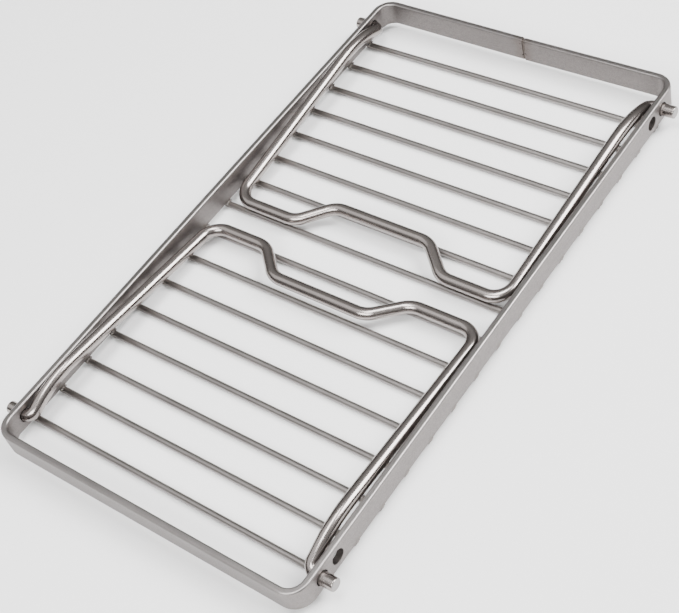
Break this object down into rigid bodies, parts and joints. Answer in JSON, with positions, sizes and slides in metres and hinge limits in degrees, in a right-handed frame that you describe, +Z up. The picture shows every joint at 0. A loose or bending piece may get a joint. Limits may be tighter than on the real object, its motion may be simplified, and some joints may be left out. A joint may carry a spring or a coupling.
{
  "type": "fold-leg wire rack",
  "caption": "Long rectangular wire rack: a flat-bar frame on edge with cross wires welded under it, and two round-rod folding legs that lie inside the frame and swing out to stand it up.",
  "frame": {"origin": "middle of the bottom face of the box, level with the undersides of the cross wires", "axes": "+X across the frame, +Y along it, +Z up, from the wires towards the frame's rim"},
  "size_m": [0.1724, 0.29, 0.0178],
  "materials": {
    "frame_steel": "satin, rolled flat bar",
    "wire_steel": "satin drawn wire",
    "rod_steel": "polished drawn rod"
  },
  "bodies": {
    "frame": {"frame_hoop": "frame_steel", "cross_wire_01": "wire_steel", "cross_wire_02": "wire_steel", "cross_wire_03": "wire_steel", "cross_wire_04": "wire_steel", "cross_wire_05": "wire_steel", "cross_wire_06": "wire_steel", "cross_wire_07": "wire_steel", "cross_wire_08": "wire_steel", "cross_wire_09": "wire_steel", "cross_wire_10": "wire_steel", "cross_wire_11": "wire_steel", "cross_wire_12": "wire_steel", "cross_wire_13": "wire_steel", "cross_wire_14": "wire_steel", "cross_wire_15": "wire_steel", "cross_wire_16": "wire_steel"},
    "front_leg_body": {"front_leg": "rod_steel"},
    "rear_leg_body": {"rear_leg": "rod_steel"}
  },
  "joints": [
    {"name": "front_leg_fold", "type": "hinge", "parent": "frame", "child": "front_leg_body", "pos_m": [0, -0.1302, 0.00915], "axis": [1, 0, 0], "range_deg": [0, 120]},
    {"name": "rear_leg_fold", "type": "hinge", "parent": "frame", "child": "rear_leg_body", "pos_m": [0, 0.1302, 0.00915], "axis": [-1, 0, 0], "range_deg": [0, 120]}
  ]
}
